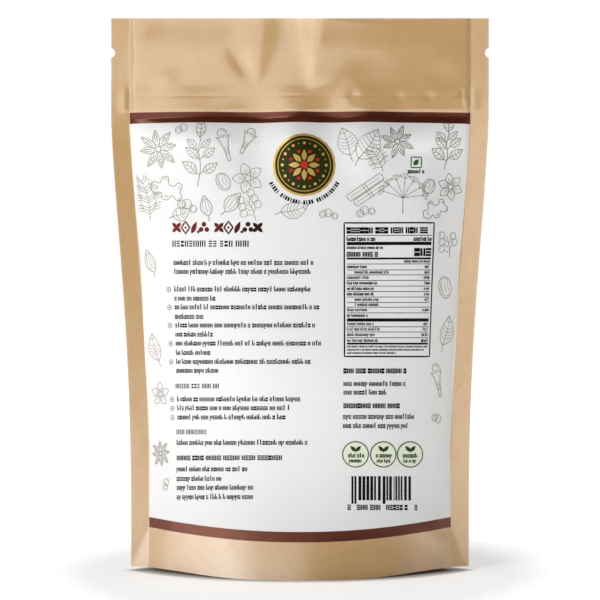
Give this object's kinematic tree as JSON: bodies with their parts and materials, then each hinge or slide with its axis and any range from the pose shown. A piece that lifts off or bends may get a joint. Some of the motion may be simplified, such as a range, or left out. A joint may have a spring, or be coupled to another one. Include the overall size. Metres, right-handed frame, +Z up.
{
  "type": "stand-up pouch of dried spice",
  "caption": "Filled, shut stand-up pouch of kraft film with a flat header over a zipper band, side seals with tear notches, a swelling body and an oval gusset foot.",
  "frame": {"origin": "on the floor under the middle of the pouch", "axes": "+Z up, towards the header; -Y is the printed side; the side seals lie in the plane Y = 0, along +X and -X"},
  "size_m": [0.152, 0.0518, 0.2225],
  "materials": {
    "kraft_film": "satin kraft laminate"
  },
  "bodies": {
    "root": {"pouch": "kraft_film"}
  },
  "joints": []
}
